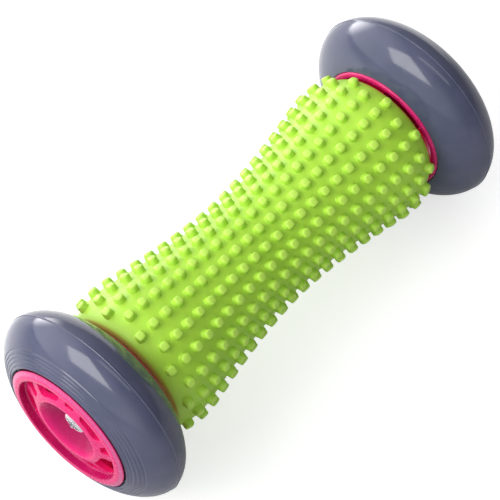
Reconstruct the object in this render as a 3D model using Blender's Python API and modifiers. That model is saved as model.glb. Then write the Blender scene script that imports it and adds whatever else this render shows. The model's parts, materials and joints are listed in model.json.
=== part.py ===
"""Foot massage roller: a nubbed hourglass drum and two wheels that turn on one steel axle.

The axle lies along X with its middle at the origin, and Z is up. Every turned piece is drawn as a
profile of (radius, height) points about its own Z axis, which an empty then lays along the axle.
"""

import math

import bmesh
import bpy

MM = 0.001

# Driving dimensions, in millimetres.
GAP = 0.3                  # clearance between pieces that rest on each other or are pressed together
AXLE_RADIUS = 4.0
AXLE_HALF_LENGTH = 90.6
BORE_RADIUS = 4.1          # every hole that the axle runs in
TAPPED_HOLE_RADIUS = 2.5
TAPPED_HOLE_DEPTH = 14.6

WHEEL_RADIUS = 40.0
WHEEL_OFFSET = 84.8        # wheel mid-plane, from the middle of the axle
TYRE_HALF_WIDTH = 14.6     # of the full superellipse that the tyre's section is cut from
TYRE_DEPTH = 21.2          # radial half-height of that superellipse
TYRE_EXPONENT = 1.78

HUB_BARREL_RADIUS = 25.2   # the tyre is moulded round this
OUTER_FLANGE_RADIUS = 26.4
INNER_FLANGE_RADIUS = 26.0
HUB_FACE = 14.1            # crest of the rim, outward of the wheel's mid-plane
HUB_INNER_END = -13.9
RIM_WALL_RADIUS = 22.35
CREST_INNER_RADIUS = 22.7  # the flat ring on the rim's crest
CREST_OUTER_RADIUS = 24.3
WEB_RIM_HEIGHT = 10.8      # where the web's cone meets the rim wall
WEB_THICKNESS = 2.3
LIP_RADIUS = 13.25         # the ridge where the web turns into the central dish
LIP_HEIGHT = 13.7
DISH_FLOOR = 7.75
BOSS_RADIUS = 9.2
BUSH_RADIUS = 5.7
BUSH_SEAT_RADIUS = BUSH_RADIUS + GAP
SPOKES = 5
WINDOW_OUTER_RADIUS = 21.9
WINDOW_INNER_RADIUS = 14.7
WINDOW_HALF_ANGLE = math.radians(18.5)
SLOT_OUTER_RADIUS = 21.6
SLOT_INNER_RADIUS = 16.0
SLOT_HALF_ANGLE = math.radians(7.5)

DRUM_HALF_LENGTH = 69.8
WAIST_RADIUS = 20.6
CREST_RADIUS = 27.6
CREST_OFFSET = 57.0        # where the drum is widest
FLARE_RISE = 7.5
FLARE_POWER = 1.7
SHOULDER_DROP = 3.9
BLEND = 0.4                # how softly the flare runs into the shoulder
SLEEVE_WALL = 2.4
CORE_WALL = 2.6
CORE_HALF_LENGTH = 67.1

NUB_ROWS = 22
NUB_PITCH = 6.2
NUB_HEIGHT = 2.7
NUB_TOP_SCALE = 0.92

BUSH_FLANGE_RADIUS = 8.0
SPACER_RADIUS = 7.5
WASHER_RADIUS = 5.0
SCREW_HEAD_RADIUS = 4.6
SCREW_HEAD_HEIGHT = 3.6
SCREW_HEAD_SEAT = 92.2     # underside of the head, from the middle of the axle
SCREW_LENGTH = 14.0
SCREW_SHANK_RADIUS = 2.2

# How far the drum and the wheels are turned at rest, about their own axes.
DRUM_PHASE = math.radians(11.4)
LEFT_WHEEL_PHASE = math.radians(30.4)
RIGHT_WHEEL_PHASE = math.radians(12.0)

# Segments round each kind of turned piece, and the angle from which an edge is sharp.
WHEEL_STEPS = 32
CORE_STEPS = 24
SMALL_STEPS = 20
SHARP_ANGLE = math.radians(35)

# Colour, roughness and metallic value of each material.
FINISHES = {
    "lime_rubber": ((0.36, 0.61, 0.07), 0.5, 0.0),
    "grey_polyurethane": ((0.15, 0.17, 0.23), 0.22, 0.0),
    "pink_plastic": ((0.90, 0.05, 0.22), 0.3, 0.0),
    "green_plastic": ((0.30, 0.52, 0.08), 0.45, 0.0),
    "white_acetal": ((0.85, 0.85, 0.82), 0.35, 0.0),
    "axle_steel": ((0.56, 0.57, 0.58), 0.3, 1.0),
    "zinc_plate": ((0.75, 0.77, 0.80), 0.22, 1.0),
}


def clear_scene():
    """Removes whatever the scene holds at the start."""
    for thing in list(bpy.data.objects):
        bpy.data.objects.remove(thing, do_unlink=True)


def new_collection(name):
    """Makes a collection in the scene."""
    collection = bpy.data.collections.new(name)
    bpy.context.scene.collection.children.link(collection)
    return collection


def make_material(name):
    """Makes a Principled BSDF material from the table of finishes."""
    colour, roughness, metallic = FINISHES[name]
    material = bpy.data.materials.new(name)
    material.use_nodes = True
    shader = material.node_tree.nodes["Principled BSDF"]
    shader.inputs["Base Color"].default_value = (*colour, 1.0)
    shader.inputs["Roughness"].default_value = roughness
    shader.inputs["Metallic"].default_value = metallic
    material.diffuse_color = (*colour, 1.0)
    return material


def make_pivot(name, offset, turn, phase):
    """Makes an empty at offset along the axle, whose Z axis points along +X or, for a turn of -1, along -X."""
    pivot = bpy.data.objects.new(name, None)
    pivot.empty_display_size = 20 * MM
    pivot.location = (offset * MM, 0.0, 0.0)
    pivot.rotation_mode = "ZYX"
    pivot.rotation_euler = (0.0, turn * math.pi / 2, phase)
    parts.objects.link(pivot)
    return pivot


def add_object(name, mesh, material, pivot, collection=None):
    """Puts a mesh in the scene under a pivot, with its origin on the axle."""
    thing = bpy.data.objects.new(name, mesh)
    if material and not mesh.materials:
        mesh.materials.append(material)
    thing.parent = pivot
    (collection or parts).objects.link(thing)
    return thing


def profile_mesh(name, outline, closed=True):
    """Makes a mesh of the edges through (radius, height) points, in the XZ plane."""
    mesh = bpy.data.meshes.new(name)
    points = [(radius * MM, 0.0, height * MM) for radius, height in outline]
    edges = [(i, i + 1) for i in range(len(points) - 1)]
    if closed:
        edges.append((len(points) - 1, 0))
    mesh.from_pydata(points, edges, [])
    return mesh


def evaluated_mesh(guide):
    """The mesh that a guide object makes with its modifiers; the guide itself is removed."""
    depsgraph = bpy.context.evaluated_depsgraph_get()
    mesh = bpy.data.meshes.new_from_object(guide.evaluated_get(depsgraph))
    mesh.name = guide.name
    bpy.data.objects.remove(guide, do_unlink=True)
    return mesh


def turned(name, outline, steps, material, pivot, closed=True):
    """Turns a profile that runs down its outer side about the pivot's Z axis."""
    guide = bpy.data.objects.new(name, profile_mesh(name + "_profile", outline, closed))
    cutters.objects.link(guide)
    screw = guide.modifiers.new("turn", "SCREW")
    screw.axis = "Z"
    screw.angle = 2 * math.pi
    screw.steps = steps
    screw.render_steps = steps
    screw.use_merge_vertices = True
    screw.merge_threshold = 0.00001
    mesh = evaluated_mesh(guide)
    mesh.shade_smooth()
    mesh.set_sharp_from_angle(angle=SHARP_ANGLE)
    return add_object(name, mesh, material, pivot)


def cut(thing, cutter):
    """Cuts a cutter's shape out of an object."""
    boolean = thing.modifiers.new("cut_" + cutter.name, "BOOLEAN")
    boolean.operation = "DIFFERENCE"
    boolean.solver = "EXACT"
    boolean.object = cutter


def as_cutter(thing):
    """Marks an object as a cutter, which isn't a piece of the roller."""
    thing.hide_render = True
    thing.display_type = "WIRE"
    return thing


def outline_cutter(name, outlines, low, high, pivot):
    """Makes a cutter that fills flat outlines of (x, y) points from height low to height high."""
    curve = bpy.data.curves.new(name, "CURVE")
    curve.dimensions = "2D"
    curve.fill_mode = "BOTH"
    curve.extrude = (high - low) / 2 * MM
    for outline in outlines:
        spline = curve.splines.new("POLY")
        spline.points.add(len(outline) - 1)
        spline.use_cyclic_u = True
        for point, (x, y) in zip(spline.points, outline):
            point.co = (x * MM, y * MM, 0.0, 1.0)
    guide = bpy.data.objects.new(name, curve)
    cutters.objects.link(guide)
    mesh = evaluated_mesh(guide)
    solid = bmesh.new()
    solid.from_mesh(mesh)
    bmesh.ops.remove_doubles(solid, verts=solid.verts, dist=0.000001)
    bmesh.ops.recalc_face_normals(solid, faces=solid.faces)
    bmesh.ops.translate(solid, verts=solid.verts, vec=(0.0, 0.0, (low + high) / 2 * MM))
    solid.to_mesh(mesh)
    solid.free()
    return as_cutter(add_object(name, mesh, None, pivot, cutters))


def polar(radius, angle):
    """The (x, y) point at a radius and an angle."""
    return radius * math.cos(angle), radius * math.sin(angle)


def drum_radius(x):
    """Radius of the drum's skin, without its nubs, at a distance x from the middle."""
    x = abs(x)
    flare = WAIST_RADIUS + FLARE_RISE * (x / CREST_OFFSET) ** FLARE_POWER
    along = max(0.0, x - CREST_OFFSET) / (DRUM_HALF_LENGTH - CREST_OFFSET)
    shoulder = CREST_RADIUS - SHOULDER_DROP * (1 - math.sqrt(max(0.0, 1 - along * along)))
    return -BLEND * math.log(math.exp(-flare / BLEND) + math.exp(-shoulder / BLEND))


def drum_stations(half_length):
    """Distances along the drum, from +half_length to -half_length, where inner surfaces have a point."""
    half = [half_length, CREST_OFFSET, 40.0, 20.0]
    return half + [0.0] + [-x for x in reversed(half)]


def make_sleeve(pivot, material):
    """The soft sleeve: a turned skin whose cells rise into nubs, every second row half a pitch along."""
    cell = NUB_PITCH / 2
    last_cell = NUB_ROWS - 1
    skin = [(i - 0.5) * cell for i in range(last_cell + 1, -last_cell - 1, -1)]
    outer = [DRUM_HALF_LENGTH, DRUM_HALF_LENGTH - 1.0] + skin
    outer += [1.0 - DRUM_HALF_LENGTH, -DRUM_HALF_LENGTH]
    inner = [-DRUM_HALF_LENGTH] + drum_stations(CORE_HALF_LENGTH)[::-1] + [DRUM_HALF_LENGTH]
    outline = [(drum_radius(x), x) for x in outer]
    outline += [(drum_radius(x) - SLEEVE_WALL, x) for x in inner]
    columns = 2 * NUB_ROWS
    solid = bmesh.new()
    half_column = math.pi / columns
    ring = [solid.verts.new((r * MM * math.cos(half_column), -r * MM * math.sin(half_column), x * MM))
            for r, x in outline]
    edges = [solid.edges.new((a, b)) for a, b in zip(ring, ring[1:] + ring[:1])]
    bmesh.ops.spin(solid, geom=ring + edges, cent=(0, 0, 0), axis=(0, 0, 1), angle=2 * math.pi,
                   steps=columns, use_merge=True, use_duplicate=False)
    bmesh.ops.recalc_face_normals(solid, faces=solid.faces)
    nubs = [face for face in solid.faces if is_nub(face, cell, last_cell)]
    raised = bmesh.ops.extrude_discrete_faces(solid, faces=nubs)["faces"]
    for face in raised:
        centre = face.calc_center_median()
        lift = face.normal * (NUB_HEIGHT * MM)
        for vert in face.verts:
            vert.co = centre + (vert.co - centre) * NUB_TOP_SCALE + lift
    mesh = bpy.data.meshes.new("drum_sleeve")
    solid.to_mesh(mesh)
    solid.free()
    mesh.shade_smooth()
    mesh.set_sharp_from_angle(angle=SHARP_ANGLE)
    return add_object("drum_sleeve", mesh, material, pivot)


def is_nub(face, cell, last_cell):
    """Whether a cell of the skin carries a nub: cells of even columns, alternate ones in alternate rows."""
    centre = face.calc_center_median() / MM
    radius = math.hypot(centre.x, centre.y)
    place = round(centre.z / cell)
    if abs(place) > last_cell or radius < drum_radius(centre.z) - SLEEVE_WALL / 2:
        return False
    column = round(math.atan2(centre.y, centre.x) / (math.pi / NUB_ROWS)) % (2 * NUB_ROWS)
    return column % 2 == 0 and (column // 2 + place) % 2 == 0


def make_core(pivot, material):
    """Two half shells of the hourglass core, split along the axle."""
    outer = drum_stations(CORE_HALF_LENGTH)
    skin = SLEEVE_WALL + GAP
    outline = [(drum_radius(x) - skin, x) for x in outer]
    outline += [(drum_radius(x) - skin - CORE_WALL, x) for x in reversed(outer)]
    for name, side in (("core_shell_front", -1), ("core_shell_rear", 1)):
        shell = turned(name, outline, CORE_STEPS, material, pivot)
        box = bmesh.new()
        bmesh.ops.create_cube(box, size=1.0)
        depth = 40 * MM
        bmesh.ops.scale(box, verts=box.verts, vec=(80 * MM, depth, 160 * MM))
        bmesh.ops.translate(box, verts=box.verts, vec=(0.0, side * (GAP / 2 * MM - depth / 2), 0.0))
        mesh = bpy.data.meshes.new(name + "_cutter")
        box.to_mesh(mesh)
        box.free()
        cut(shell, as_cutter(add_object(mesh.name, mesh, None, pivot, cutters)))


def make_end_cap(name, pivot, material):
    """A cap that plugs the core's end and holds a drum bush in its boss."""
    face = DRUM_HALF_LENGTH
    back = CORE_HALF_LENGTH + GAP
    recess = face - 1.9
    outline = [(BUSH_FLANGE_RADIUS + 0.5, face), (20.6, face), (21.0, face - 0.4), (21.0, back),
               (20.3, back), (20.3, 60.5), (18.2, 60.5), (18.2, back - 0.8), (9.5, back - 1.4), (9.5, 57.0),
               (BUSH_SEAT_RADIUS, 57.0), (BUSH_SEAT_RADIUS, recess), (BUSH_FLANGE_RADIUS + 0.5, recess)]
    return turned(name, outline, CORE_STEPS, material, pivot)


def make_flanged_bush(name, low, flange_low, flange_high, low_first, pivot, material):
    """A plain bush with a flange at one end; low is the far end of its barrel."""
    outline = [(BORE_RADIUS, flange_high), (BUSH_FLANGE_RADIUS, flange_high), (BUSH_FLANGE_RADIUS, flange_low),
               (BUSH_RADIUS, flange_low), (BUSH_RADIUS, low), (BORE_RADIUS, low)]
    if low_first:
        outline = [(radius, -height) for radius, height in reversed(outline)]
    return turned(name, outline, SMALL_STEPS, material, pivot)


def make_ring(name, inner, outer, low, high, pivot, material):
    """A plain ring, for a washer or a straight bush."""
    outline = [(inner, high), (outer, high), (outer, low), (inner, low)]
    return turned(name, outline, SMALL_STEPS, material, pivot)


def make_axle(pivot, material):
    """The axle rod, with a tapped hole in each end."""
    end = AXLE_HALF_LENGTH
    hole = end - TAPPED_HOLE_DEPTH
    chamfer = 0.4
    half = [(0.0, hole), (TAPPED_HOLE_RADIUS, hole), (TAPPED_HOLE_RADIUS, end),
            (AXLE_RADIUS - chamfer, end), (AXLE_RADIUS, end - chamfer)]
    outline = half + [(radius, -height) for radius, height in reversed(half)]
    return turned("axle_rod", outline, SMALL_STEPS, material, pivot, closed=False)


def make_screw(name, pivot, material):
    """A pan-head screw with a cross recess; its shank stands for the threaded length."""
    radius = SCREW_HEAD_RADIUS
    height = SCREW_HEAD_HEIGHT
    shoulder = 0.68
    dome = [(radius * math.sin(t), height * (shoulder + (1 - shoulder) * math.cos(t) ** 0.8))
            for t in (0.5, 0.95, 1.3)]
    outline = [(0.0, height)] + dome + [(radius, height * shoulder), (radius, 0.0)]
    outline += [(SCREW_SHANK_RADIUS, 0.0), (SCREW_SHANK_RADIUS, 0.8 - SCREW_LENGTH)]
    outline += [(SCREW_SHANK_RADIUS - 0.7, -SCREW_LENGTH), (0.0, -SCREW_LENGTH)]
    screw = turned(name, outline, SMALL_STEPS, material, pivot, closed=False)
    arm = 2.7
    tip = 0.42
    root = 0.6
    quarter = [(arm, -tip), (arm, tip), (root, root)]
    cross = []
    for turn in range(4):
        cosine, sine = round(math.cos(turn * math.pi / 2)), round(math.sin(turn * math.pi / 2))
        cross += [(x * cosine - y * sine, x * sine + y * cosine) for x, y in quarter]
    cut(screw, outline_cutter(name + "_recess", [cross], height - 1.7, height + 1.0, pivot))
    return screw


def make_tyre(name, pivot, material):
    """The tyre: a superellipse section that closes on the hub's barrel and flanges."""
    seat = HUB_BARREL_RADIUS + GAP
    outer_lip = OUTER_FLANGE_RADIUS + GAP
    inner_lip = INNER_FLANGE_RADIUS + GAP
    centre = WHEEL_RADIUS - TYRE_DEPTH
    power = 2 / TYRE_EXPONENT

    def start(lip):
        return math.asin(((lip - centre) / TYRE_DEPTH) ** (1 / power))

    count = 10
    first = start(outer_lip)
    last = math.pi - start(inner_lip)
    outline = []
    for i in range(count + 1):
        t = first + (last - first) * i / count
        across = math.copysign(abs(math.cos(t)) ** power, math.cos(t))
        outline.append((centre + TYRE_DEPTH * math.sin(t) ** power, TYRE_HALF_WIDTH * across))
    outline += [(inner_lip, -10.8), (seat, -10.5), (seat, 10.2), (outer_lip, 10.5)]
    return turned(name, outline, WHEEL_STEPS, material, pivot)


def hub_outline():
    """Profile of the hub: rim with two flanges, conical web, ridge, central dish and boss."""
    web_under = WEB_RIM_HEIGHT - WEB_THICKNESS
    edge = 0.6
    rim = [(RIM_WALL_RADIUS, HUB_FACE - 0.35), (CREST_INNER_RADIUS, HUB_FACE), (CREST_OUTER_RADIUS, HUB_FACE),
           (OUTER_FLANGE_RADIUS - edge, 13.6), (OUTER_FLANGE_RADIUS, 12.9),
           (OUTER_FLANGE_RADIUS, 10.8), (HUB_BARREL_RADIUS, 10.5), (HUB_BARREL_RADIUS, -10.8),
           (INNER_FLANGE_RADIUS, -11.1), (INNER_FLANGE_RADIUS, HUB_INNER_END + edge),
           (INNER_FLANGE_RADIUS - edge, HUB_INNER_END), (23.7, HUB_INNER_END), (22.9, web_under)]
    boss = [(LIP_RADIUS, LIP_HEIGHT - WEB_THICKNESS - 0.2), (BOSS_RADIUS, 6.4), (BOSS_RADIUS, -12.3),
            (BUSH_SEAT_RADIUS, -12.3), (BUSH_SEAT_RADIUS, DISH_FLOOR), (6.5, DISH_FLOOR)]
    front = [(LIP_RADIUS - 0.5, LIP_HEIGHT - 0.3), (LIP_RADIUS, LIP_HEIGHT),
             (LIP_RADIUS + 0.5, LIP_HEIGHT - 0.1), (RIM_WALL_RADIUS, WEB_RIM_HEIGHT)]
    return rim + boss + front


def window_outlines():
    """Outlines of the hub's windows: D-shaped ones, and slots in the forks of the spokes."""
    outlines = []
    for spoke in range(SPOKES):
        middle = 2 * math.pi * spoke / SPOKES
        arc = [(WINDOW_OUTER_RADIUS, i / 3) for i in range(-3, 4)]
        bow = [(WINDOW_INNER_RADIUS + rise, t) for rise, t in
               ((2.5, 1), (0.8, 0.85), (0.1, 0.5), (0.0, 0), (0.1, -0.5), (0.8, -0.85), (2.5, -1))]
        outlines.append([polar(radius, middle + WINDOW_HALF_ANGLE * t) for radius, t in arc + bow])
        fork = middle + math.pi / SPOKES
        slot = [(SLOT_OUTER_RADIUS - 0.5, -1), (SLOT_OUTER_RADIUS, -0.6), (SLOT_OUTER_RADIUS, 0.6),
                (SLOT_OUTER_RADIUS - 0.5, 1), (SLOT_INNER_RADIUS + 1.0, 0.85), (SLOT_INNER_RADIUS, 0.35),
                (SLOT_INNER_RADIUS, -0.35), (SLOT_INNER_RADIUS + 1.0, -0.85)]
        outlines.append([polar(radius, fork + SLOT_HALF_ANGLE * side) for radius, side in slot])
    return outlines


def make_hub(name, pivot, material):
    """The moulded hub, its windows cut through the web only."""
    hub = turned(name, hub_outline(), WHEEL_STEPS, material, pivot)
    cut(hub, outline_cutter(name + "_windows", window_outlines(), 5.0, 16.0, pivot))
    return hub


def make_drum(materials):
    """The drum: sleeve, core, end caps and their bushes."""
    pivot = make_pivot("drum_pivot", 0.0, 1, DRUM_PHASE)
    make_sleeve(pivot, materials["lime_rubber"])
    make_core(pivot, materials["green_plastic"])
    for side, turn in (("left", -1), ("right", 1)):
        end = make_pivot(side + "_drum_end_pivot", 0.0, turn, 0.0)
        make_end_cap(side + "_end_cap", end, materials["pink_plastic"])
        make_flanged_bush(side + "_drum_bush", 58.0, 68.2, 69.7, False, end, materials["white_acetal"])


def make_wheel(side, turn, phase, materials):
    """One wheel: tyre, hub and two bushes, drawn with outward as +Z."""
    pivot = make_pivot(side + "_wheel_pivot", turn * WHEEL_OFFSET, turn, phase)
    make_tyre(side + "_tyre", pivot, materials["grey_polyurethane"])
    make_hub(side + "_hub", pivot, materials["pink_plastic"])
    make_flanged_bush(side + "_inner_bush", 4.0, 12.6, 13.9, True, pivot, materials["white_acetal"])
    make_ring(side + "_outer_bush", BORE_RADIUS, BUSH_RADIUS, -2.0, 5.5, pivot, materials["white_acetal"])


def make_axle_end(side, turn, materials):
    """What holds one wheel on: the spacer behind it, and the washer and screw in front of it."""
    pivot = make_pivot(side + "_axle_end_pivot", 0.0, turn, 0.0)
    make_ring(side + "_spacer_washer", BORE_RADIUS, SPACER_RADIUS, 70.0, 70.6, pivot, materials["axle_steel"])
    make_ring(side + "_washer", SCREW_SHANK_RADIUS + GAP, WASHER_RADIUS, AXLE_HALF_LENGTH + GAP,
              SCREW_HEAD_SEAT - GAP, pivot, materials["zinc_plate"])
    seat = make_pivot(side + "_screw_pivot", turn * SCREW_HEAD_SEAT, turn, 0.0)
    make_screw(side + "_screw", seat, materials["zinc_plate"])


def build():
    """Builds the whole roller."""
    materials = {name: make_material(name) for name in FINISHES}
    make_axle(make_pivot("axle_pivot", 0.0, 1, 0.0), materials["axle_steel"])
    make_drum(materials)
    for side, turn, phase in (("left", -1, LEFT_WHEEL_PHASE), ("right", 1, RIGHT_WHEEL_PHASE)):
        make_wheel(side, turn, phase, materials)
        make_axle_end(side, turn, materials)


clear_scene()
parts = new_collection("foot_massage_roller")
cutters = new_collection("cutters")
build()
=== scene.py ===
"""Looks of the foot massage roller: finer pieces, materials, floor, light and camera round the CAD frame.

Lengths inside the piece builders are in millimetres. A wheel's piece is drawn as a profile of
(radius, outward) points, where outward is measured from the wheel's mid-plane away from the drum.
"""

import json
import math

import bmesh
import bpy
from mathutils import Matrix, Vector

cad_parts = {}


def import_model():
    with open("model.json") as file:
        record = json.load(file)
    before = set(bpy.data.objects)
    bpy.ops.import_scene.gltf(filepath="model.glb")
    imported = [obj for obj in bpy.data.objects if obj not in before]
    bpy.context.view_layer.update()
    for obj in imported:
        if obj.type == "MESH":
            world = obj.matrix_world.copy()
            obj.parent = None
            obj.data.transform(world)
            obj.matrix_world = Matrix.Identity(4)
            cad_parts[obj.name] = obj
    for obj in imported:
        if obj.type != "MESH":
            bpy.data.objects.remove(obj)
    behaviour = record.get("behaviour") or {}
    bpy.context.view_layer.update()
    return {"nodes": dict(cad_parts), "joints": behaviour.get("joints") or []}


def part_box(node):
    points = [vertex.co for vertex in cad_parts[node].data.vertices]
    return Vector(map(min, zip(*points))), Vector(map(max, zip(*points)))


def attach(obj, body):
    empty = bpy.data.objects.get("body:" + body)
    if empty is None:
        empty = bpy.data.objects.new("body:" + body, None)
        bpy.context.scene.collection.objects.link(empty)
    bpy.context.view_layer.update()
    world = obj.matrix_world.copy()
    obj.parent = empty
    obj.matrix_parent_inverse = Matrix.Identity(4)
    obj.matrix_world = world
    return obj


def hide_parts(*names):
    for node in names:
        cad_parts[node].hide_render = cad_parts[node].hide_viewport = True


MM = 0.001
SIDES = (("left", -1), ("right", 1))

# Wheels.
WHEEL_RADIUS = 40.0
TYRE_HALF_WIDTH = 14.6
TYRE_DEPTH = 21.2
TYRE_EXPONENT = 1.78
TYRE_STEPS = 150
TYRE_OUTER_LIP = 27.4
TYRE_INNER_LIP = 26.3
GROOVE_RADII = (27.9, 29.2, 30.5, 31.8, 33.1)
GROOVE_DEPTH = 0.3
GROOVE_HALF_WIDTH = 0.38
SEAM_HEIGHT = 0.24
SEAM_HALF_WIDTH = 0.3
WHEEL_OFFSET = 84.8
RIM_WALL_RADIUS = 22.35
HUB_FACE = 14.1
WEB_RIM_HEIGHT = 10.8
LIP_RADIUS = 13.25
HUB_INNER_END = -13.9
WINDOWS = 5
WINDOW_ANGLES = {"left": math.radians(59.6), "right": math.radians(-78.0)}
WINDOW_SPAN = (4.0, 17.0)
WINDOW_EDGE = 0.22

# The tyre's inside, as (radius, outward) points.
TYRE_INSIDE = (
    (TYRE_INNER_LIP, -10.8), (25.5, -10.5), (25.5, 10.2), (26.75, 10.5), (26.75, 12.2), (26.8, 12.5),
    (26.95, 12.75), (27.15, 12.88),
)
# The hub's section, as corners of (radius, outward, rounding).
HUB_CORNERS = (
    (RIM_WALL_RADIUS, WEB_RIM_HEIGHT, 0.4), (RIM_WALL_RADIUS, HUB_FACE, 0.35), (24.2, HUB_FACE, 2.6),
    (26.2, 13.2, 0.35), (26.2, 10.8, 0.0), (25.2, 10.5, 0.0), (25.2, -10.8, 0.0), (26.0, -11.1, 0.0),
    (26.0, HUB_INNER_END, 0.8), (23.7, HUB_INNER_END, 0.5), (22.9, 8.5, 0.5), (LIP_RADIUS, 11.2, 0.8),
    (9.2, 6.4, 0.6), (9.2, -12.3, 0.3), (6.0, -12.3, 0.2), (6.0, 7.75, 0.15), (6.6, 7.75, 0.1),
    (LIP_RADIUS - 0.5, 13.7, 0.7), (LIP_RADIUS + 0.45, 13.7, 1.0),
)
# The hub's large and small windows, as corners of (radius, degrees from the window's middle, rounding).
WINDOW_ARC = ((21.9, -18.5, 0.9), *((21.9, 18.5 * k / 4, 0.0) for k in range(-3, 4)), (21.9, 18.5, 0.9))
WINDOW_CORNERS = (*WINDOW_ARC, (15.4, 18.5, 2.3), (15.1, 0.0, 0.0), (15.4, -18.5, 2.3))
SLOT_CORNERS = ((21.5, -7.5, 0.6), (21.7, 0.0, 0.0), (21.5, 7.5, 0.6), (15.9, 6.0, 1.2), (15.9, -6.0, 1.2))

# Screws: heights are above the underside of the head.
SCREW_HEAD_HEIGHT = 3.6
SCREW_ANGLE = math.radians(20.0)
DOME_RADIUS = 4.55
DOME_BASE = 2.45
DOME_RISE = 1.15
DOME_POWER = 0.8
DOME_STEP = 0.13
DOME_STEPS = 11
SCREW_SIDE = ((4.6, 2.3), (4.6, 0.15), (4.45, 0.0), (2.2, 0.0), (2.2, -13.2), (1.5, -14.0), (0.0, -14.0))
RECESS_ARM = ((2.9, -0.54), (2.9, 0.54), (0.82, 0.82))
RECESS_SPAN = (1.8, 5.0)
RECESS_EDGE = 0.09

# Axle, bushes and washers.
BORE_RADIUS = 4.1
SCREW_HOLE_RADIUS = 2.5
BUSH_RADIUS = 5.7
BUSH_FLANGE_RADIUS = 8.0
# Each flanged bush's flange face, flange back and far end.
DRUM_BUSH_PLACES = (69.7, 68.2, 58.0)
INNER_BUSH_PLACES = (-13.9, -12.6, -4.0)
ROD_HALF = ((0.0, 76.0), (SCREW_HOLE_RADIUS, 76.0), (SCREW_HOLE_RADIUS, 90.6), (3.6, 90.6), (4.0, 90.2))
SMALL_STEPS = 64

# Drum.
DRUM_HALF_LENGTH = 69.8
WAIST_RADIUS = 20.6
CREST_RADIUS = 27.6
CREST_OFFSET = 57.0
FLARE_RISE = 7.5
FLARE_POWER = 1.7
SHOULDER_DROP = 4.3
BLEND = 0.4
SLEEVE_WALL = 2.0
SLEEVE_BORE_PLACES = (60.0, 45.0, 30.0, 15.0, 0.0, -15.0, -30.0, -45.0, -60.0)
END_EDGE = 0.3
END_BANDS = 6
NUB_ROWS = 22
NUB_PITCH = 6.2
DRUM_ANGLE = math.radians(-78.6)

# Fine lattice that the drum's skin is meshed on: steps along a nub's pitch and columns to a nub's row.
PITCH_STEPS = 6
ROW_COLUMNS = 4
COLUMNS = NUB_ROWS * ROW_COLUMNS

# A nub's side from its foot to the middle of its top: radius, height, how far it has left the curved skin,
# and how far its surface leans from the nub's own axis, in degrees.
NUB_RINGS = (
    (2.12, 0.0, 0.0, 6.0),
    (1.9, 0.07, 0.0, 42.0),
    (1.78, 0.28, 0.5, 83.0),
    (1.63, 1.9, 1.0, 83.0),
    (1.56, 2.2, 1.0, 60.0),
    (1.36, 2.44, 1.0, 32.0),
    (1.02, 2.56, 1.0, 10.0),
)
NUB_TOP = 2.62
NUB_SQUARENESS = 4.0


def fillet(corners, closed=True, steps=5, support=0.12):
    """Points along an outline of (a, b, radius) corners, each rounded to its radius, with a point to hold
    the straight part flat on each side of a rounding."""
    points = []
    count = len(corners)
    for i, (a, b, radius) in enumerate(corners):
        here = Vector((a, b))
        if radius == 0.0 or (not closed and i in (0, count - 1)):
            points.append(here)
            continue
        before = Vector(corners[i - 1][:2])
        after = Vector(corners[(i + 1) % count][:2])
        u = (here - before).normalized()
        v = (after - here).normalized()
        turn = math.atan2(u.x * v.y - u.y * v.x, u.dot(v))
        reach = radius * math.tan(abs(turn) / 2)
        start = here - u * reach
        centre = start + Vector((-u.y, u.x)) * math.copysign(radius, turn)
        spoke = start - centre
        if support and (here - before).length > 3 * reach:
            points.append(start - u * support)
        for k in range(steps + 1):
            t = turn * k / steps
            points.append(centre + Vector((spoke.x * math.cos(t) - spoke.y * math.sin(t),
                                           spoke.x * math.sin(t) + spoke.y * math.cos(t))))
        if support and (after - here).length > 3 * reach:
            points.append(here + v * (reach + support))
    return [(p.x, p.y) for p in points]


def new_object(name, mesh, material=None):
    """Puts a mesh in the scene as an object."""
    thing = bpy.data.objects.new(name, mesh)
    bpy.context.scene.collection.objects.link(thing)
    if material:
        mesh.materials.append(material)
    return thing


def finish_mesh(mesh, sharp=40.0):
    """Turns the faces outward and shades them smooth, apart from edges sharper than an angle."""
    solid = bmesh.new()
    solid.from_mesh(mesh)
    bmesh.ops.recalc_face_normals(solid, faces=solid.faces)
    solid.to_mesh(mesh)
    solid.free()
    mesh.shade_smooth()
    mesh.set_sharp_from_angle(angle=math.radians(sharp))


def turned(name, outline, place, material, steps=128, closed=True):
    """Turns a profile of (radius, outward) points about the axle; place is (offset, side)."""
    offset, side = place
    points, faces, rings = [], [], []
    for radius, outward in outline:
        x = side * (offset + outward) * MM
        if radius < 1e-6:
            rings.append([len(points)] * steps)
            points.append((x, 0.0, 0.0))
            continue
        rings.append(list(range(len(points), len(points) + steps)))
        for i in range(steps):
            angle = 2 * math.pi * i / steps
            points.append((x, radius * MM * math.cos(angle), radius * MM * math.sin(angle)))
    for a, b in zip(rings, rings[1:] + (rings[:1] if closed else [])):
        for i in range(steps):
            j = (i + 1) % steps
            corners = [a[i], a[j], b[j], b[i]]
            faces.append([c for k, c in enumerate(corners) if c != corners[k - 1]])
    mesh = bpy.data.meshes.new(name)
    mesh.from_pydata(points, [], faces)
    finish_mesh(mesh)
    return new_object(name, mesh, material)


def prism(name, outline, low, high, place):
    """A prism over an outline of (y, z) points, from outward distance low to high."""
    offset, side = place
    count = len(outline)
    points = [(side * (offset + s) * MM, y * MM, z * MM) for s in (low, high) for y, z in outline]
    faces = [list(range(count)), list(range(count, 2 * count))]
    faces += [[i, (i + 1) % count, count + (i + 1) % count, count + i] for i in range(count)]
    mesh = bpy.data.meshes.new(name)
    mesh.from_pydata(points, [], faces)
    finish_mesh(mesh)
    return new_object(name, mesh)


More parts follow.
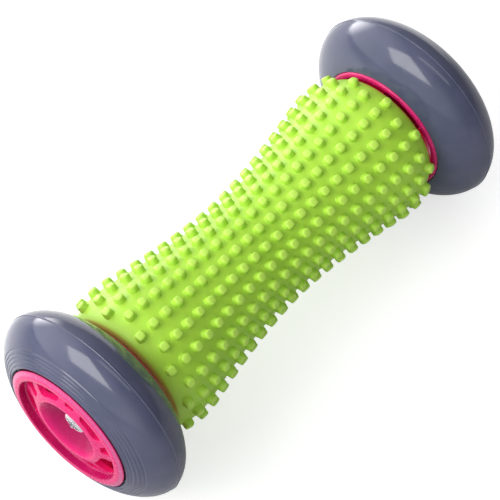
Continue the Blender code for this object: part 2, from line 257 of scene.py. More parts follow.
def cut_and_soften(thing, cutters, width, segments=3):
    """Cuts the cutters out of a piece, rounds the new edges and bakes the result into its mesh."""
    for cutter in cutters:
        boolean = thing.modifiers.new(cutter.name, "BOOLEAN")
        boolean.operation = "DIFFERENCE"
        boolean.solver = "EXACT"
        boolean.object = cutter
    bevel = thing.modifiers.new("soften", "BEVEL")
    bevel.width = width * MM
    bevel.segments = segments
    bevel.limit_method = "ANGLE"
    bevel.angle_limit = math.radians(50)
    bevel.use_clamp_overlap = False
    bevel.harden_normals = True
    bpy.context.view_layer.update()
    depsgraph = bpy.context.evaluated_depsgraph_get()
    mesh = bpy.data.meshes.new_from_object(thing.evaluated_get(depsgraph))
    thing.modifiers.clear()
    thing.data = mesh
    mesh.name = thing.name
    for cutter in cutters:
        bpy.data.objects.remove(cutter, do_unlink=True)


def polar(radius, angle):
    """The (y, z) point at a radius and an angle from +Y towards +Z."""
    return radius * math.cos(angle), radius * math.sin(angle)


def drum_radius(x):
    """Radius of the drum's skin, without its nubs, at a distance x from the middle: the lesser of the flare
    and the rounded shoulder, with a soft change from one to the other."""
    x = abs(x)
    flare = WAIST_RADIUS + FLARE_RISE * (x / CREST_OFFSET) ** FLARE_POWER
    along = max(0.0, x - CREST_OFFSET) / (DRUM_HALF_LENGTH - CREST_OFFSET)
    shoulder = CREST_RADIUS - SHOULDER_DROP * (1 - math.sqrt(max(0.0, 1 - along * along)))
    return -BLEND * math.log(math.exp(-flare / BLEND) + math.exp(-shoulder / BLEND))


def skin(x, angle, radius=None):
    """The point of the drum's skin at a distance along it and an angle round it."""
    y, z = polar(drum_radius(x) if radius is None else radius, angle)
    return Vector((x, y, z))


def skin_normal(x, angle):
    """The outward direction of the drum's skin."""
    step = 0.02
    slope = (drum_radius(x + step) - drum_radius(x - step)) / (2 * step)
    y, z = polar(1.0, angle)
    return Vector((-slope, y, z)).normalized()


class SleeveMesh:
    """Collects the points, directions and faces of the drum's sleeve."""

    def __init__(self):
        self.points, self.normals, self.heights, self.faces = [], [], [], []
        self.lattice = {}

    def add(self, point, normal, height=0.0):
        self.points.append(point * MM)
        self.normals.append(normal.normalized())
        self.heights.append(height)
        return len(self.points) - 1

    def skin_vertex(self, i, j):
        """The vertex where lattice line i along the drum meets column j round it."""
        key = (i, j % COLUMNS)
        if key not in self.lattice:
            x = i * NUB_PITCH / PITCH_STEPS
            angle = DRUM_ANGLE + 2 * math.pi * j / COLUMNS
            self.lattice[key] = self.add(skin(x, angle), skin_normal(x, angle))
        return self.lattice[key]

    def join(self, outer, inner):
        """Faces between two closed loops of vertices."""
        for i in range(len(outer)):
            j = (i + 1) % len(outer)
            self.faces.append((outer[i], inner[i], inner[j], outer[j]))

    def add_cell(self, i, j):
        """One nub and the patch of skin round it, about lattice point (i, j)."""
        half_x, half_j = PITCH_STEPS // 2, ROW_COLUMNS // 2
        border = [(half_x, k) for k in range(0, half_j + 1)]
        border += [(k, half_j) for k in range(half_x - 1, -half_x, -1)]
        border += [(-half_x, k) for k in range(half_j, -half_j - 1, -1)]
        border += [(k, -half_j) for k in range(1 - half_x, half_x)]
        border += [(half_x, k) for k in range(-half_j, 0)]
        x0 = i * NUB_PITCH / PITCH_STEPS
        angle0 = DRUM_ANGLE + 2 * math.pi * j / COLUMNS
        radius = drum_radius(x0)
        centre = skin(x0, angle0)
        up = skin_normal(x0, angle0)
        round_way = Vector((0.0, -math.sin(angle0), math.cos(angle0)))
        along = round_way.cross(up)
        along *= math.copysign(1.0, along.x)
        loop = [self.skin_vertex(i + di, j + dj) for di, dj in border]
        for ring_radius, height, lift, lean in NUB_RINGS:
            ring = []
            for k in range(len(border)):
                t = 2 * math.pi * k / len(border)
                c, s = math.cos(t), math.sin(t)
                fullness = abs(c) ** NUB_SQUARENESS + abs(s) ** NUB_SQUARENESS
                reach = ring_radius * fullness ** (-1 / NUB_SQUARENESS)
                u, v = reach * c, reach * s
                on_skin = skin(x0 + u * along.x, angle0 + v / radius)
                on_plane = centre + along * u + round_way * v
                point = on_skin.lerp(on_plane, lift) + up * height
                out = along * c + round_way * s
                tilt = math.radians(lean)
                ring.append(self.add(point, up * math.cos(tilt) + out * math.sin(tilt),
                                     min(1.0, height / NUB_TOP)))
            self.join(loop, ring)
            loop = ring
        top = self.add(centre + up * NUB_TOP, up, 1.0)
        for k in range(len(loop)):
            self.faces.append((loop[k], top, loop[(k + 1) % len(loop)]))

    def add_end(self, side):
        """The shoulder beyond the last nubs, down to the end face; returns the end face's inner loop."""
        last = PITCH_STEPS * NUB_ROWS // 2
        shoulder = DRUM_HALF_LENGTH - CREST_OFFSET
        loop = [self.skin_vertex(side * last, j) for j in range(COLUMNS)]
        start = math.asin((last * NUB_PITCH / PITCH_STEPS - CREST_OFFSET) / shoulder)
        for k in range(1, END_BANDS + 1):
            t = start + (math.pi / 2 - start) * k / END_BANDS
            x = CREST_OFFSET + shoulder * math.sin(t)
            radius = CREST_RADIUS - SHOULDER_DROP * (1 - math.cos(t))
            loop = self.next_loop(loop, side * x, radius, side * SHOULDER_DROP * math.sin(t),
                                  shoulder * math.cos(t))
        wall = drum_radius(DRUM_HALF_LENGTH) - SLEEVE_WALL
        loop = self.next_loop(loop, side * DRUM_HALF_LENGTH, wall + END_EDGE, side * 1.0, 0.0)
        return self.next_loop(loop, side * (DRUM_HALF_LENGTH - END_EDGE), wall, side * 0.2, -1.0)

    def next_loop(self, loop, x, radius, along, outward):
        """Adds a ring of skin columns at x, joined to a loop, and returns it."""
        ring = []
        for j in range(COLUMNS):
            angle = DRUM_ANGLE + 2 * math.pi * j / COLUMNS
            y, z = polar(outward, angle)
            ring.append(self.add(skin(x, angle, radius), Vector((along, y, z))))
        self.join(loop, ring)
        return ring

    def close_inside(self, first, last):
        """The bore of the sleeve, from one end's loop to the other's."""
        loop = first
        for x in SLEEVE_BORE_PLACES:
            loop = self.next_loop(loop, x, drum_radius(x) - SLEEVE_WALL, 0.0, -1.0)
        self.join(loop, last)


def make_sleeve(material):
    """The drum's soft sleeve: staggered rows of nubs on an hourglass skin."""
    sleeve = SleeveMesh()
    half = PITCH_STEPS // 2
    for row in range(NUB_ROWS):
        shift = half * (row % 2)
        count = NUB_ROWS // 2
        for k in range(-count if shift else 1 - count, count):
            sleeve.add_cell(PITCH_STEPS * k + shift, ROW_COLUMNS * row)
        if shift:
            continue
        # A row that isn't shifted ends half a pitch short of its neighbours, so plain skin fills it up.
        for side in (-1, 1):
            for i in range(half):
                for j in range(-(ROW_COLUMNS // 2), ROW_COLUMNS // 2):
                    a = side * (PITCH_STEPS * count - half + i)
                    b = ROW_COLUMNS * row + j
                    sleeve.faces.append((sleeve.skin_vertex(a, b), sleeve.skin_vertex(a + side, b),
                                         sleeve.skin_vertex(a + side, b + 1), sleeve.skin_vertex(a, b + 1)))
    sleeve.close_inside(sleeve.add_end(1), sleeve.add_end(-1))
    mesh = bpy.data.meshes.new("nubbed_sleeve")
    mesh.from_pydata(sleeve.points, [], sleeve.faces)
    finish_mesh(mesh, 180.0)
    mesh.normals_split_custom_set_from_vertices(sleeve.normals)
    heights = mesh.attributes.new("nub_height", "FLOAT", "POINT")
    heights.data.foreach_set("value", sleeve.heights)
    return new_object("nubbed_sleeve", mesh, material)


def tyre_section():
    """The tyre's section: a superellipse with a moulding seam round the tread and fine grooves outside."""
    centre = WHEEL_RADIUS - TYRE_DEPTH
    power = 2 / TYRE_EXPONENT

    def start(lip):
        return math.asin(((lip - centre) / TYRE_DEPTH) ** (1 / power))

    first, last = start(TYRE_OUTER_LIP), math.pi - start(TYRE_INNER_LIP)
    points = []
    for i in range(TYRE_STEPS + 1):
        t = first + (last - first) * i / TYRE_STEPS
        radius = centre + TYRE_DEPTH * math.sin(t) ** power
        outward = math.copysign(TYRE_HALF_WIDTH * abs(math.cos(t)) ** power, math.cos(t))
        if outward > TYRE_HALF_WIDTH / 2:
            for groove in GROOVE_RADII:
                away = abs(radius - groove) / GROOVE_HALF_WIDTH
                if away < 1:
                    outward -= GROOVE_DEPTH * (1 - away * away) ** 2
        away = abs(outward) / SEAM_HALF_WIDTH
        if away < 1 and radius > WHEEL_RADIUS - 1:
            radius += SEAM_HEIGHT * (1 - away * away)
        points.append((radius, outward))
    return points


def make_tyre(name, place, material):
    """A tyre, closed on the hub's barrel and flanges."""
    return turned(name, tyre_section() + list(TYRE_INSIDE), place, material)


def window_outline(corners, middle):
    """A window's outline of (y, z) points, about a middle angle."""
    return fillet([(*polar(radius, middle + math.radians(degrees)), rounding)
                   for radius, degrees, rounding in corners], support=0.0)


def make_hub(name, place, angle, material):
    """A moulded hub with its windows cut through the web: large ones at angle and its repeats, and small
    ones between them."""
    hub = turned(name, fillet(HUB_CORNERS), place, material, steps=160)
    outlines = []
    for spoke in range(WINDOWS):
        middle = angle + 2 * math.pi * spoke / WINDOWS
        outlines.append(window_outline(WINDOW_CORNERS, middle))
        outlines.append(window_outline(SLOT_CORNERS, middle + math.pi / WINDOWS))
    cutters = [prism(f"{name}_window_{i}", outline, *WINDOW_SPAN, place)
               for i, outline in enumerate(outlines)]
    cut_and_soften(hub, cutters, WINDOW_EDGE)
    return hub


def make_screw(name, seat, side, material):
    """A pan-head screw with a cross recess, its seat at the underside of the head."""
    place = (seat, side)
    dome = [(DOME_RADIUS * math.sin(t), DOME_BASE + DOME_RISE * math.cos(t) ** DOME_POWER)
            for t in [k * DOME_STEP for k in range(1, DOME_STEPS + 1)]]
    outline = [(0.0, SCREW_HEAD_HEIGHT)] + dome + list(SCREW_SIDE)
    screw = turned(name, outline, place, material, steps=SMALL_STEPS, closed=False)
    cross = []
    for turn in range(4):
        angle = SCREW_ANGLE + turn * math.pi / 2
        c, s = math.cos(angle), math.sin(angle)
        cross += [(y * c - z * s, y * s + z * c) for y, z in RECESS_ARM]
    cut_and_soften(screw, [prism(name + "_recess", cross, *RECESS_SPAN, place)], RECESS_EDGE, 2)
    return screw


def make_bush(name, places, place, material):
    """A plain bush with a flange, from the places of the flange's face, its back and the bush's far end."""
    face, back, end = places
    corners = [(BORE_RADIUS, face, 0.1), (BUSH_FLANGE_RADIUS, face, 0.15), (BUSH_FLANGE_RADIUS, back, 0.1),
               (BUSH_RADIUS, back, 0.0), (BUSH_RADIUS, end, 0.15), (BORE_RADIUS, end, 0.1)]
    return turned(name, fillet(corners, steps=2), place, material, SMALL_STEPS)


def make_ring(name, node, bore, side, material, edge=0.12):
    """A ring with softened edges in a CAD node's box."""
    low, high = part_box(node)
    inner, outer = sorted((side * low.x / MM, side * high.x / MM))
    radius = max(high.y, high.z) / MM
    corners = [(bore, outer, edge), (radius, outer, edge), (radius, inner, edge), (bore, inner, edge)]
    return turned(name, fillet(corners, steps=2, support=0.0), (0.0, side), material, SMALL_STEPS)


# Materials. Colours are linear RGB; a pair of them is what a fine noise runs between.

LIME_SKIN = ((0.42, 0.72, 0.05), (0.48, 0.79, 0.065))
# Painted highlight: the nubs' tops are paler where the light falls on them.
LIME_NUB_TOP_HIGHLIGHT = (0.52, 0.83, 0.10)
# Painted pink reflection and shade at the drum's very ends, next to the hubs, over a span of distances from
# the middle.
LIME_END_REFLECTION_AND_SHADE = (0.44, 0.42, 0.07)
LIME_END_PAINTED_SPAN = (68.5, 69.3)
TYRE_GREY = ((0.062, 0.070, 0.125), (0.083, 0.087, 0.150))
CORE_GREEN = ((0.27, 0.48, 0.07), (0.32, 0.54, 0.09))
ACETAL_WHITE = ((0.80, 0.80, 0.77), (0.86, 0.86, 0.83))
STEEL = ((0.52, 0.53, 0.54), (0.62, 0.62, 0.62))
ZINC = ((0.86, 0.88, 0.92), (0.94, 0.94, 0.94))
PINK = ((0.68, 0.010, 0.15), (0.74, 0.014, 0.18))

# Places on the hub whose colour is painted light: painted shade in the gap beside the tyre, a painted
# highlight on the flange's outer slope, and a painted red glow on the windows' walls and inside the rim.
# Each holds a few measures of a point with two limits: the place begins where all the measures pass their
# first limit and is full where all pass the second.
HUB_PAINTED_LIGHT_ZONES = {
    "gap": (("outward", 13.1, 12.8), ("outward", 5.0, 8.0), ("radius", 25.6, 26.0)),
    "slope": (("outward", 12.3, 12.8), ("radius", 24.3, 25.0), ("radius", 26.15, 25.8)),
    "window": (("facing", 0.5, 0.15), ("outward", 7.6, 8.4), ("outward", 13.6, 13.2),
               ("radius", 13.7, 14.2), ("radius", 22.25, 22.0)),
    "inside": (("outward", 10.4, 8.6), ("outward", -8.0, 0.0), ("radius", 13.2, 14.2)),
}
# Painted shade in the gap, painted highlight on the slope, and painted red glow in the windows and inside
# the rim.
HUB_PAINTED_LIGHT_COLOURS = {"gap": (0.10, 0.008, 0.03), "slope": (0.60, 0.065, 0.24), "window": (0.80, 0.014, 0.16),
                    "inside": (0.72, 0.006, 0.07)}
DISH_ZONE = (("radius", 13.1, 12.6), ("outward", 13.6, 13.2))
# Painted shade: how much darker the pink is painted at a radius, down in the hub's dish and on the rim's
# wall, and the radius that the ramp reaches.
DISH_PAINTED_SHADES = ((5.0, 0.40), (10.5, 0.58), (12.9, 1.0), (21.2, 1.0), (22.2, 0.66), (22.6, 0.74), (22.9, 1.0))
DISH_RANGE = 30.0
# Painted red glow inside the rim and on the windows' walls, which stands in for the red light inside the
# hub, and how strongly the hub mirrors.
PAINTED_GLOW_COLOUR = (1.0, 0.0, 0.10)
RIM_PAINTED_GLOW = 0.10
WINDOW_PAINTED_GLOW = 0.1
HUB_SHINE, SLOPE_SHINE, DISH_SHINE = 0.5, 0.8, 0.15


def material_nodes(name):
    """A new Principled material: the material, its nodes, its links, and its Principled node."""
    material = bpy.data.materials.new(name)
    material.use_nodes = True
    tree = material.node_tree
    return material, tree.nodes, tree.links, tree.nodes["Principled BSDF"]


def noise(nodes, links, scale, detail=3.0, stretch=None):
    """A noise texture on the object's own coordinates; scale is in waves to the metre."""
    place = nodes.new("ShaderNodeTexCoord").outputs["Object"]
    if stretch:
        mapping = nodes.new("ShaderNodeMapping")
        mapping.inputs["Scale"].default_value = stretch
        links.new(place, mapping.inputs["Vector"])
        place = mapping.outputs["Vector"]
    texture = nodes.new("ShaderNodeTexNoise")
    texture.inputs["Scale"].default_value = scale
    texture.inputs["Detail"].default_value = detail
    links.new(place, texture.inputs["Vector"])
    return texture.outputs["Fac"]


def ramp(nodes, links, factor, stops):
    """A colour ramp over a factor; stops are (position, colour)."""
    node = nodes.new("ShaderNodeValToRGB")
    elements = node.color_ramp.elements
    for element, (position, colour) in zip(elements, stops):
        element.position = position
        element.color = (*colour, 1.0)
    for position, colour in stops[2:]:
        elements.new(position).color = (*colour, 1.0)
    links.new(factor, node.inputs["Fac"])
    return node.outputs["Color"]


def mottle(nodes, links, scale, colours, detail=3.0, edge=0.3):
    """A colour that runs between two with a fine noise."""
    low, high = colours
    return ramp(nodes, links, noise(nodes, links, scale, detail), [(edge, low), (1 - edge, high)])


def spread(nodes, links, factor, low, high):
    """A factor of 0.3 to 0.7 spread over the range low to high."""
    node = nodes.new("ShaderNodeMapRange")
    node.inputs["From Min"].default_value = 0.3
    node.inputs["From Max"].default_value = 0.7
    node.inputs["To Min"].default_value = low
    node.inputs["To Max"].default_value = high
    links.new(factor, node.inputs["Value"])
    return node.outputs["Result"]


def reckon(nodes, links, operation, *values):
    """The result of a maths operation on values, each a number or another node's output."""
    node = nodes.new("ShaderNodeMath")
    node.operation = operation
    for socket, value in zip(node.inputs, values):
        if isinstance(value, (int, float)):
            socket.default_value = value
        else:
            links.new(value, socket)
    return node.outputs["Value"]


def smooth_step(nodes, links, value, start, end):
    """0 where a value is at start, 1 where it is at end, and smooth between."""
    node = nodes.new("ShaderNodeMapRange")
    node.interpolation_type = "SMOOTHSTEP"
    node.inputs["From Min"].default_value = start
    node.inputs["From Max"].default_value = end
    links.new(value, node.inputs["Value"])
    return node.outputs["Result"]


def within(nodes, links, *limits):
    """1 where every (value, start, end) has reached its end, 0 where any is still at its start."""
    share = 1.0
    for value, start, end in limits:
        share = reckon(nodes, links, "MULTIPLY", share, smooth_step(nodes, links, value, start, end))
    return share


def change(nodes, links, factor, start, end):
    """A value that is start where a factor is 0 and end where it is 1."""
    node = nodes.new("ShaderNodeMapRange")
    links.new(factor, node.inputs["Value"])
    for socket, value in ((node.inputs["To Min"], start), (node.inputs["To Max"], end)):
        if isinstance(value, float):
            socket.default_value = value
        else:
            links.new(value, socket)
    return node.outputs["Result"]


def blend(nodes, links, factor, a, b, kind="MIX"):
    """Colour a blended with colour b by a factor; b is a colour or another node's output."""
    node = nodes.new("ShaderNodeMix")
    node.data_type = "RGBA"
    node.blend_type = kind
    if isinstance(factor, float):
        node.inputs["Factor"].default_value = factor
    else:
        links.new(factor, node.inputs["Factor"])
    links.new(a, node.inputs["A"])
    if isinstance(b, tuple):
        node.inputs["B"].default_value = (*b, 1.0)
    else:
        links.new(b, node.inputs["B"])
    return node.outputs["Result"]


def wheel_place(nodes, links):
    """Radius from the axle and distance outward from the nearest wheel's mid-plane, in millimetres."""
    split = nodes.new("ShaderNodeSeparateXYZ")
    links.new(nodes.new("ShaderNodeTexCoord").outputs["Object"], split.inputs["Vector"])
    x, y, z = (reckon(nodes, links, "DIVIDE", split.outputs[axis], MM) for axis in "XYZ")
    squares = reckon(nodes, links, "ADD", reckon(nodes, links, "MULTIPLY", y, y),
                     reckon(nodes, links, "MULTIPLY", z, z))
    outward = reckon(nodes, links, "SUBTRACT", reckon(nodes, links, "ABSOLUTE", x), WHEEL_OFFSET)
    return reckon(nodes, links, "SQRT", squares), outward


def bump(nodes, links, shader, height, distance, strength=1.0):
    """Drives a shader's normal from a height; distance is in millimetres."""
    node = nodes.new("ShaderNodeBump")
    node.inputs["Strength"].default_value = strength
    node.inputs["Distance"].default_value = distance * MM
    links.new(height, node.inputs["Height"])
    links.new(node.outputs["Normal"], shader.inputs["Normal"])


def scatter(shader, weight, radius, scale):
    """Lets light wander under a shader's surface; scale is in millimetres."""
    shader.inputs["Subsurface Weight"].default_value = weight
    shader.inputs["Subsurface Radius"].default_value = radius
    shader.inputs["Subsurface Scale"].default_value = scale * MM


def lime_rubber():
    """Satin thermoplastic rubber, with a painted highlight on the nubs' tops and a painted pink reflection
    and shade at the drum's very ends.
    """
    material, nodes, links, shader = material_nodes("lime_rubber")
    height = nodes.new("ShaderNodeAttribute")
    height.attribute_name = "nub_height"
    body = mottle(nodes, links, 60.0, LIME_SKIN)
    # Painted highlight on the nubs' tops, by how high a point stands on its nub.
    body = blend(nodes, links, height.outputs["Fac"], body, LIME_NUB_TOP_HIGHLIGHT)
    # Painted pink reflection and shade at the drum's very ends.
    split = nodes.new("ShaderNodeSeparateXYZ")
    links.new(nodes.new("ShaderNodeTexCoord").outputs["Object"], split.inputs["Vector"])
    along = reckon(nodes, links, "DIVIDE", reckon(nodes, links, "ABSOLUTE", split.outputs["X"]), MM)
    end = smooth_step(nodes, links, along, *LIME_END_PAINTED_SPAN)
    links.new(blend(nodes, links, end, body, LIME_END_REFLECTION_AND_SHADE), shader.inputs["Base Color"])
    links.new(spread(nodes, links, noise(nodes, links, 900.0), 0.38, 0.52), shader.inputs["Roughness"])
    bump(nodes, links, shader, noise(nodes, links, 2600.0, 4.0), distance=0.012, strength=0.6)
    scatter(shader, weight=0.12, radius=(0.6, 1.0, 0.15), scale=1.2)
    return material


def grey_polyurethane():
    """Glossy, faintly cloudy blue-grey polyurethane."""
    material, nodes, links, shader = material_nodes("grey_polyurethane")
    links.new(mottle(nodes, links, 70.0, TYRE_GREY, detail=2.0, edge=0.32), shader.inputs["Base Color"])
    links.new(spread(nodes, links, noise(nodes, links, 400.0), 0.10, 0.17), shader.inputs["Roughness"])
    bump(nodes, links, shader, noise(nodes, links, 220.0, 2.0), distance=0.03, strength=0.35)
    return material


def pink_plastic():
    """Glossy injection-moulded plastic in a hot pink, with painted light on it: painted shade in the dish,
    on the rim's wall and in the gap beside the tyre, a painted highlight on the flange's slope, and a
    painted red glow inside the rim and on the windows' walls."""
    material, nodes, links, shader = material_nodes("pink_plastic")
    split = nodes.new("ShaderNodeSeparateXYZ")
    links.new(nodes.new("ShaderNodeNewGeometry").outputs["Normal"], split.inputs["Vector"])
    radius, outward = wheel_place(nodes, links)
    facing = reckon(nodes, links, "ABSOLUTE", split.outputs["X"])
    measures = {"radius": radius, "outward": outward, "facing": facing}

    def zone(limits):
        return within(nodes, links, *[(measures[name], start, end) for name, start, end in limits])

    # Painted shade in the hub's dish and on the rim's wall.
    share = reckon(nodes, links, "DIVIDE", radius, DISH_RANGE)
    painted_shade = ramp(nodes, links, share, [(r / DISH_RANGE, (v, v, v)) for r, v in DISH_PAINTED_SHADES])
    colour = blend(nodes, links, 1.0, mottle(nodes, links, 90.0, PINK), painted_shade, "MULTIPLY")
    # Painted shade, highlight and glow colours over the hub's zones.
    zones = {name: zone(limits) for name, limits in HUB_PAINTED_LIGHT_ZONES.items()}
    for name, inside in zones.items():
        colour = blend(nodes, links, inside, colour, HUB_PAINTED_LIGHT_COLOURS[name])
    links.new(colour, shader.inputs["Base Color"])
    # Painted red glow inside the rim and on the windows' walls.
    shader.inputs["Emission Color"].default_value = (*PAINTED_GLOW_COLOUR, 1.0)
    glow = reckon(nodes, links, "ADD", reckon(nodes, links, "MULTIPLY", zones["inside"], RIM_PAINTED_GLOW),
                  reckon(nodes, links, "MULTIPLY", zones["window"], WINDOW_PAINTED_GLOW))
    links.new(glow, shader.inputs["Emission Strength"])
    shine = change(nodes, links, zones["slope"], HUB_SHINE, SLOPE_SHINE)
    links.new(change(nodes, links, zone(DISH_ZONE), shine, DISH_SHINE), shader.inputs["Specular IOR Level"])
    links.new(spread(nodes, links, noise(nodes, links, 700.0), 0.2, 0.3), shader.inputs["Roughness"])
    bump(nodes, links, shader, noise(nodes, links, 700.0), distance=0.006, strength=0.3)
    scatter(shader, weight=0.1, radius=(1.0, 0.2, 0.3), scale=1.0)
    return material


def plain_plastic(name, colours, roughness, grain):
    """Moulded plastic with a slight tint variation and an eroded-mould grain."""
    material, nodes, links, shader = material_nodes(name)
    links.new(mottle(nodes, links, 80.0, colours), shader.inputs["Base Color"])
    links.new(spread(nodes, links, noise(nodes, links, 600.0), roughness, roughness + 0.12),
              shader.inputs["Roughness"])
    bump(nodes, links, shader, noise(nodes, links, 3000.0, 4.0), distance=grain, strength=0.7)
    return material


def metal(name, colours, roughness, stretch):
    """Metal with fine marks drawn out along one direction."""
    material, nodes, links, shader = material_nodes(name)
    shader.inputs["Metallic"].default_value = 1.0
    links.new(mottle(nodes, links, 150.0, colours), shader.inputs["Base Color"])
    marks = noise(nodes, links, 500.0, 4.0, stretch)
    links.new(spread(nodes, links, marks, roughness, roughness + 0.14), shader.inputs["Roughness"])
    bump(nodes, links, shader, marks, distance=0.01, strength=0.4)
    return material


def make_materials():
    """All materials, by the name of the record's slot."""
    return {
        "lime_rubber": lime_rubber(),
        "grey_polyurethane": grey_polyurethane(),
        "pink_plastic": pink_plastic(),
        "green_plastic": plain_plastic("green_plastic", CORE_GREEN, roughness=0.4, grain=0.012),
        "white_acetal": plain_plastic("white_acetal", ACETAL_WHITE, roughness=0.28, grain=0.006),
        "axle_steel": metal("axle_steel", STEEL, roughness=0.22, stretch=(0.1, 1.0, 1.0)),
        "zinc_plate": metal("zinc_plate", ZINC, roughness=0.09, stretch=(1.0, 1.0, 1.0)),
    }


# Assembly.

def show(piece, body, slot, *nodes):
    """Makes a piece ride on a body in place of CAD nodes."""
    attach(piece, body)
    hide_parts(*nodes)


def build_drum(materials):
    """The drum's visible sleeve; its core, end caps and bushes follow the CAD."""
    show(make_sleeve(materials["lime_rubber"]), "drum", "lime_rubber", "drum_sleeve")
    for side_name, side in SIDES:
        node = side_name + "_drum_bush"
        bush = make_bush(node + "_turned", DRUM_BUSH_PLACES, (0.0, side), materials["white_acetal"])
        show(bush, "drum", "white_acetal", node)


def build_wheel(side_name, side, offset, materials):
    """A wheel: tyre, hub and its two bushes."""
    body = side_name + "_wheel"
    place = (offset, side)
    tyre = make_tyre(side_name + "_tyre_moulding", place, materials["grey_polyurethane"])
    show(tyre, body, "grey_polyurethane", side_name + "_tyre")
    hub = make_hub(side_name + "_hub_moulding", place, WINDOW_ANGLES[side_name], materials["pink_plastic"])
    show(hub, body, "pink_plastic", side_name + "_hub")
    bush = make_bush(side_name + "_inner_bush_turned", INNER_BUSH_PLACES, place, materials["white_acetal"])
    show(bush, body, "white_acetal", side_name + "_inner_bush")
    node = side_name + "_outer_bush"
    bush = make_ring(node + "_turned", node, BORE_RADIUS, side, materials["white_acetal"])
    show(bush, body, "white_acetal", node)


def build_axle_ends(side_name, side, materials):
    """What sits on the axle beside a wheel: spacer, washer and screw."""
    node = side_name + "_spacer_washer"
    spacer = make_ring(node + "_turned", node, BORE_RADIUS, side, materials["axle_steel"], 0.08)
    show(spacer, "axle", "axle_steel", node)
    node = side_name + "_washer"
    washer = make_ring(node + "_turned", node, SCREW_HOLE_RADIUS, side, materials["zinc_plate"], 0.1)
    show(washer, "axle", "zinc_plate", node)
    node = side_name + "_screw"
    low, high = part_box(node)
    outermost = max(abs(low.x), abs(high.x)) / MM
    screw = make_screw(node + "_fine", outermost - SCREW_HEAD_HEIGHT, side, materials["zinc_plate"])
    show(screw, "axle", "zinc_plate", node)


def build_axle(materials):
    """The ground axle rod, with a tapped hole in each end."""
    outline = list(ROD_HALF) + [(radius, -x) for radius, x in reversed(ROD_HALF)]
    rod = turned("axle_rod_ground", outline, (0.0, 1), materials["axle_steel"], SMALL_STEPS, closed=False)
    show(rod, "axle", "axle_steel", "axle_rod")


def finish_cad_nodes(nodes, materials):
    """Gives every CAD node that still shows its detailed material."""
    slots = {"core_shell_front": "green_plastic", "core_shell_rear": "green_plastic",
             "left_end_cap": "pink_plastic", "right_end_cap": "pink_plastic"}
    for name, slot in slots.items():
        nodes[name].data.materials.clear()
        nodes[name].data.materials.append(materials[slot])


# Studio.

CAMERA_PLACE = (-0.35150, -0.30870, 0.71750)
CAMERA_HEADING = math.radians(-48.773)
CAMERA_DIP = math.radians(56.62)
LENS = 171.254
LENS_SHIFT = (-0.01456, -0.02370)

# The backdrop: where it is brightest, and its brightness from straight opposite to there.
BACKDROP_DIRECTION = (-0.3, 0.9, 0.2)
BACKDROP_STOPS = ((0.0, 0.22), (0.5, 0.34), (0.78, 0.75), (1.0, 2.4))
SIDE_DIRECTION = (-1.0, -0.15, 0.12)
SIDE_EDGE = 0.55
SIDE_GLOW = 1.3

# The lights, which all stand at one distance from the roller: directions of their corners, or of the middle.
LIGHT_DISTANCE = 1.2
LIGHT_COLOUR = (1.0, 0.99, 0.97)
SOFTBOX_CORNERS = (
    (-0.51, 0.58, 0.63), (-0.445, 0.22, 0.868), (-0.785, -0.29, 0.545), (-0.826, 0.40, 0.393),
)
SOFTBOX_STRENGTH = 6.6
STRIP_CORNERS = ((-0.27, 0.06, 0.96), (-0.13, 0.06, 0.98), (-0.03, -0.60, 0.80), (-0.15, -0.60, 0.80))
STRIP_STRENGTH = 2.3
HAZE_DIRECTION = (0.22, 0.96, 0.0)
HAZE_REACH = 0.7
HAZE_STRENGTH = 9.5

FLOOR_HALF_SIZE = 6.0
# What the floor returns of the light on it, and its own glow: as seen, and as it lights the roller.
FLOOR_ALBEDO = (0.62, 0.58)
FLOOR_GLOW = (0.62, 0.0)
# The floor's glow in the roller's gloss, which rises from in front of the roller to behind it and fades
# past its left end.
GLOSS_GLOW = (0.0, 0.9)
GLOSS_SPAN = (0.0, 0.10)
GLOSS_EDGE = (-0.22, -0.08)


def build_camera():
    """The camera at the photograph's viewing angle."""
    data = bpy.data.cameras.new("camera")
    data.lens = LENS
    data.shift_x, data.shift_y = LENS_SHIFT
    data.clip_start, data.clip_end = 0.05, 20.0
    camera = bpy.data.objects.new("camera", data)
    camera.location = CAMERA_PLACE
    camera.rotation_euler = (math.pi / 2 - CAMERA_DIP, 0.0, CAMERA_HEADING)
    bpy.context.scene.collection.objects.link(camera)
    bpy.context.scene.camera = camera


def emission(name, colour, strength):
    """A plain glowing material."""
    material = bpy.data.materials.new(name)
    material.use_nodes = True
    nodes = material.node_tree.nodes
    nodes.clear()
    glow = nodes.new("ShaderNodeEmission")
    glow.inputs["Color"].default_value = (*colour, 1.0)
    glow.inputs["Strength"].default_value = strength
    output = nodes.new("ShaderNodeOutputMaterial")
    material.node_tree.links.new(glow.outputs["Emission"], output.inputs["Surface"])
    return material


def stage_light(name, points, material):
    """Puts up a flat four-sided light that the camera doesn't see."""
    mesh = bpy.data.meshes.new(name)
    mesh.from_pydata(points, [], [(0, 1, 2, 3)])
    light = new_object(name, mesh, material)
    light.visible_camera = False
    return light


def build_light(name, corners, strength):
    """A soft light whose corners lie in given directions from the middle of the roller."""
    corners = [Vector(corner).normalized() for corner in corners]
    middle = sum(corners, Vector()).normalized()
    points = [corner * (LIGHT_DISTANCE / corner.dot(middle)) for corner in corners]
    stage_light(name, points, emission(name, LIGHT_COLOUR, strength))


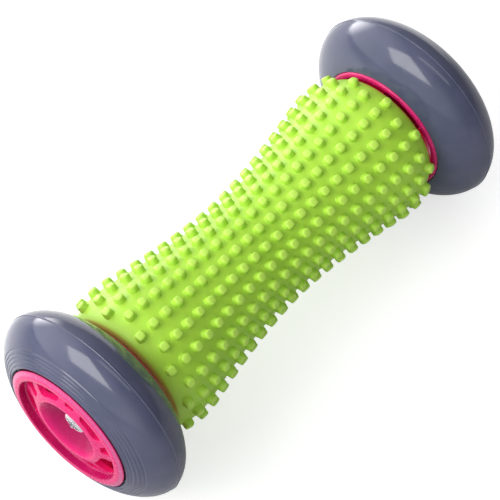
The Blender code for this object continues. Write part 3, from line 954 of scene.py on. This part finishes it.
def build_haze():
    """A round light low behind the roller, which fades out from its middle and shows only in gloss."""
    centre = Vector(HAZE_DIRECTION).normalized() * LIGHT_DISTANCE
    across = centre.cross(Vector((0.0, 0.0, 1.0))).normalized() * HAZE_REACH
    up = across.cross(centre).normalized() * HAZE_REACH
    material = emission("haze_light", (1.0, 1.0, 1.0), HAZE_STRENGTH)
    nodes, links = material.node_tree.nodes, material.node_tree.links
    away = nodes.new("ShaderNodeVectorMath")
    away.operation = "DISTANCE"
    away.inputs[1].default_value = centre
    links.new(nodes.new("ShaderNodeTexCoord").outputs["Object"], away.inputs[0])
    share = smooth_step(nodes, links, away.outputs["Value"], HAZE_REACH, 0.0)
    links.new(reckon(nodes, links, "MULTIPLY", share, HAZE_STRENGTH), nodes["Emission"].inputs["Strength"])
    add = nodes.new("ShaderNodeAddShader")
    links.new(nodes["Emission"].outputs["Emission"], add.inputs[0])
    links.new(nodes.new("ShaderNodeBsdfTransparent").outputs["BSDF"], add.inputs[1])
    links.new(add.outputs["Shader"], nodes["Material Output"].inputs["Surface"])
    points = [centre - across - up, centre + across - up, centre + across + up, centre - across + up]
    stage_light("haze_light", points, material).visible_diffuse = False


def build_floor(level):
    """A pale floor that the wheels stand on."""
    mesh = bpy.data.meshes.new("floor")
    corners = [(x * FLOOR_HALF_SIZE, y * FLOOR_HALF_SIZE, level)
               for x, y in ((-1, -1), (1, -1), (1, 1), (-1, 1))]
    mesh.from_pydata(corners, [], [(0, 1, 2, 3)])
    material, nodes, links, shader = material_nodes("floor")
    shader.inputs["Roughness"].default_value = 1.0
    shader.inputs["Specular IOR Level"].default_value = 0.0
    path = nodes.new("ShaderNodeLightPath").outputs
    split = nodes.new("ShaderNodeSeparateXYZ")
    links.new(nodes.new("ShaderNodeTexCoord").outputs["Object"], split.inputs["Vector"])
    behind = within(nodes, links, (split.outputs["Y"], *GLOSS_SPAN), (split.outputs["X"], *GLOSS_EDGE))
    gloss = change(nodes, links, behind, *GLOSS_GLOW)
    plain = change(nodes, links, path["Is Diffuse Ray"], *FLOOR_GLOW)
    albedo = change(nodes, links, path["Is Camera Ray"], FLOOR_ALBEDO[1], FLOOR_ALBEDO[0])
    links.new(albedo, shader.inputs["Base Color"])
    links.new(change(nodes, links, path["Is Glossy Ray"], plain, gloss), shader.inputs["Emission Strength"])
    shader.inputs["Emission Color"].default_value = (1.0, 1.0, 1.0, 1.0)
    new_object("floor", mesh, material)


def toward(nodes, links, target):
    """How squarely a ray of the world points in a target direction, from -1 to 1."""
    node = nodes.new("ShaderNodeVectorMath")
    node.operation = "DOT_PRODUCT"
    node.inputs[1].default_value = Vector(target).normalized()
    links.new(nodes.new("ShaderNodeTexCoord").outputs["Generated"], node.inputs[0])
    return node.outputs["Value"]


def cool(value):
    """A grey of a value, with a touch of blue."""
    return value * 0.97, value * 0.98, value


def build_world():
    """Faint light from all round, brighter towards the backdrop behind the roller and at its left side."""
    world = bpy.data.worlds.new("studio")
    world.use_nodes = True
    nodes, links = world.node_tree.nodes, world.node_tree.links
    share = nodes.new("ShaderNodeMapRange")
    share.inputs["From Min"].default_value = -1.0
    links.new(toward(nodes, links, BACKDROP_DIRECTION), share.inputs["Value"])
    stops = [(place, cool(value)) for place, value in BACKDROP_STOPS]
    glow = ramp(nodes, links, share.outputs["Result"], stops)
    side = smooth_step(nodes, links, toward(nodes, links, SIDE_DIRECTION), SIDE_EDGE, 1.0)
    links.new(blend(nodes, links, side, glow, cool(SIDE_GLOW)), nodes["Background"].inputs["Color"])
    bpy.context.scene.world = world


def main():
    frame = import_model()
    materials = make_materials()
    build_axle(materials)
    build_drum(materials)
    offsets = {joint["name"]: joint["pos_m"][0] / MM for joint in frame["joints"]}
    for side_name, side in SIDES:
        build_wheel(side_name, side, abs(offsets[side_name + "_wheel_spin"]), materials)
        build_axle_ends(side_name, side, materials)
    finish_cad_nodes(frame["nodes"], materials)
    build_floor(-WHEEL_RADIUS * MM)
    build_world()
    build_light("softbox", SOFTBOX_CORNERS, SOFTBOX_STRENGTH)
    build_light("strip_light", STRIP_CORNERS, STRIP_STRENGTH)
    build_haze()
    build_camera()
    bpy.context.scene.view_settings.view_transform = "Standard"


main()
